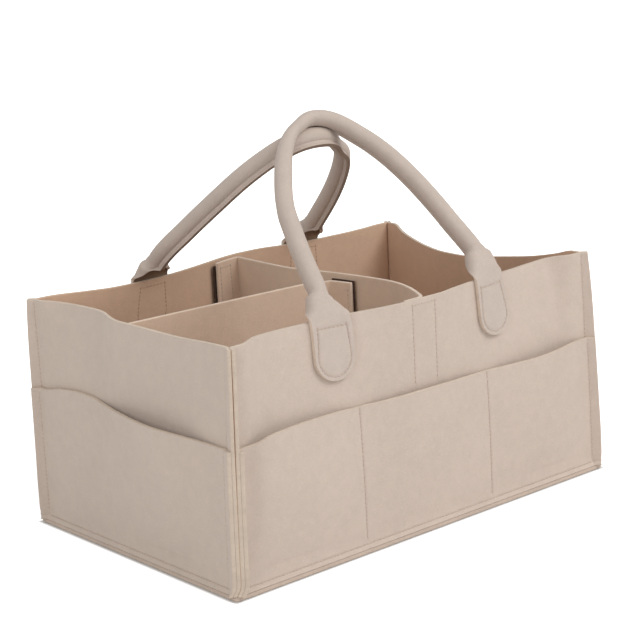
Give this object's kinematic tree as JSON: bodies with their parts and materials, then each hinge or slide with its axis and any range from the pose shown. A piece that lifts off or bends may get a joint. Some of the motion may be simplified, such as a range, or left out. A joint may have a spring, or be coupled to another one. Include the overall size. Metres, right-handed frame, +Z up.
{
  "type": "diaper caddy",
  "caption": "Open felt caddy with outside pockets, rolled felt carrying handles that fold out, and removable inner dividers held by hook and loop tape.",
  "frame": {"origin": "middle of the base's underside, on the floor", "axes": "+X along the long side to the end with the undivided compartment, -Y to the front long side, +Z up"},
  "size_m": [0.3927, 0.256, 0.3058],
  "materials": {
    "tub_felt": "matt needle felt",
    "handle_felt": "matt needle felt, rolled and sewn",
    "divider_felt": "matt needle felt",
    "hook_tape": "woven tape with fine plastic hooks",
    "loop_tape": "brushed looped tape",
    "handle_core": "soft cotton filler"
  },
  "bodies": {
    "tub": {"base_panel": "tub_felt", "front_wall": "tub_felt", "front_pocket_panel": "tub_felt", "back_wall": "tub_felt", "back_pocket_panel": "tub_felt", "left_end_wall": "tub_felt", "left_end_pocket_panel": "tub_felt", "right_end_wall": "tub_felt", "right_end_pocket_panel": "tub_felt", "front_handle_left_tab": "handle_felt", "front_handle_right_tab": "handle_felt", "front_wall_loop_tape": "loop_tape", "back_handle_left_tab": "handle_felt", "back_handle_right_tab": "handle_felt", "back_wall_loop_tape": "loop_tape", "left_end_wall_loop_tape": "loop_tape"},
    "front_handle": {"front_handle_sleeve": "handle_felt", "front_handle_core": "handle_core"},
    "back_handle": {"back_handle_sleeve": "handle_felt", "back_handle_core": "handle_core"},
    "cross_divider": {"cross_divider_panel": "divider_felt", "cross_divider_loop_tape": "loop_tape"},
    "cross_front_flap": {"cross_divider_front_flap": "divider_felt", "cross_divider_front_hook_tape": "hook_tape"},
    "cross_back_flap": {"cross_divider_back_flap": "divider_felt", "cross_divider_back_hook_tape": "hook_tape"},
    "long_divider": {"long_divider_panel": "divider_felt"},
    "long_wall_flap": {"long_divider_wall_flap": "divider_felt", "long_divider_wall_hook_tape": "hook_tape"},
    "long_inner_flap": {"long_divider_inner_flap": "divider_felt", "long_divider_inner_hook_tape": "hook_tape"}
  },
  "joints": [
    {"name": "front_handle_swing", "type": "hinge", "parent": "tub", "child": "front_handle", "pos_m": [0, -0.109, 0.17962], "axis": [1, 0, 0], "range_deg": [0, 175]},
    {"name": "back_handle_swing", "type": "hinge", "parent": "tub", "child": "back_handle", "pos_m": [0, 0.109, 0.17962], "axis": [-1, 0, 0], "range_deg": [0, 175]},
    {"name": "cross_divider_lift", "type": "slide", "parent": "tub", "child": "cross_divider", "axis": [0, 0, 1], "range_m": [0, 0.075]},
    {"name": "cross_front_flap_peel", "type": "hinge", "parent": "cross_divider", "child": "cross_front_flap", "pos_m": [0.0134, -0.1074, 0.09], "axis": [0, 0, -1], "range_deg": [0, 65]},
    {"name": "cross_back_flap_peel", "type": "hinge", "parent": "cross_divider", "child": "cross_back_flap", "pos_m": [0.0133, 0.1074, 0.09], "axis": [0, 0, 1], "range_deg": [0, 65]},
    {"name": "long_divider_lift", "type": "slide", "parent": "tub", "child": "long_divider", "axis": [0, 0, 1], "range_m": [0, 0.075]},
    {"name": "long_wall_flap_peel", "type": "hinge", "parent": "long_divider", "child": "long_wall_flap", "pos_m": [-0.1749, 0.00985, 0.09], "axis": [0, 0, 1], "range_deg": [0, 65]},
    {"name": "long_inner_flap_peel", "type": "hinge", "parent": "long_divider", "child": "long_inner_flap", "pos_m": [0.0128, 0.0034, 0.09], "axis": [0, 0, -1], "range_deg": [0, 65]}
  ]
}
